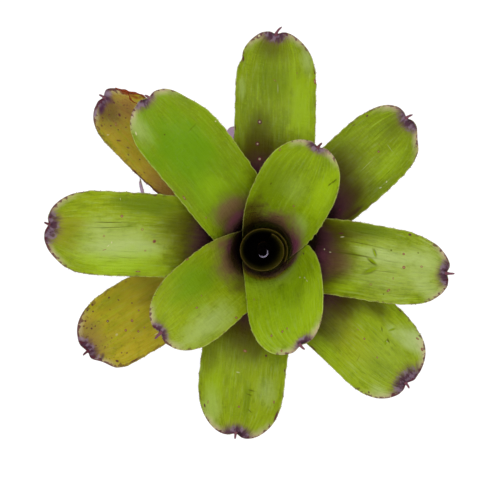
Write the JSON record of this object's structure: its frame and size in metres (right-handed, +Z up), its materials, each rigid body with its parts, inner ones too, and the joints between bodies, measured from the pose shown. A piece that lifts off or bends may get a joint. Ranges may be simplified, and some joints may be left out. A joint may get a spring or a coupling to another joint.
{
  "type": "neoregelia bromeliad",
  "caption": "Bare bromeliad rosette of broad toothed strap leaves round a rolled heart leaf, standing on the flat cut end of its short stem.",
  "frame": {"origin": "centre of the stem's flat cut face, which the plant stands on", "axes": "+Z up along the plant's axis; +Y towards the leaf called leaf_07, a little to its right; +X to the right of that, near leaf_05"},
  "size_m": [0.3449, 0.3482, 0.1972],
  "materials": {
    "leaf_green": "smooth green leaf with a waxy sheen, purple-black at its base and purple at its tip",
    "leaf_olive": "older olive-yellow leaf with brown flecks and a browned margin",
    "leaf_old": "old drooping leaf, dull brown-purple with a pale violet tip",
    "heart": "rolled young leaf, olive at its rim and near black inside",
    "stem": "dull brown fibrous stem with a paler cut face and short wiry roots"
  },
  "bodies": {
    "root": {"stem": "stem", "newest_leaf": "heart", "heart_leaf": "heart", "leaf_01": "leaf_green", "leaf_02": "leaf_green", "leaf_03": "leaf_green", "leaf_04": "leaf_green", "leaf_05": "leaf_green", "leaf_06": "leaf_green", "leaf_07": "leaf_green", "leaf_08": "leaf_green", "leaf_09": "leaf_green", "leaf_10": "leaf_green", "leaf_11": "leaf_olive", "leaf_12": "leaf_olive", "leaf_13": "leaf_old", "leaf_14": "leaf_old"}
  },
  "joints": []
}
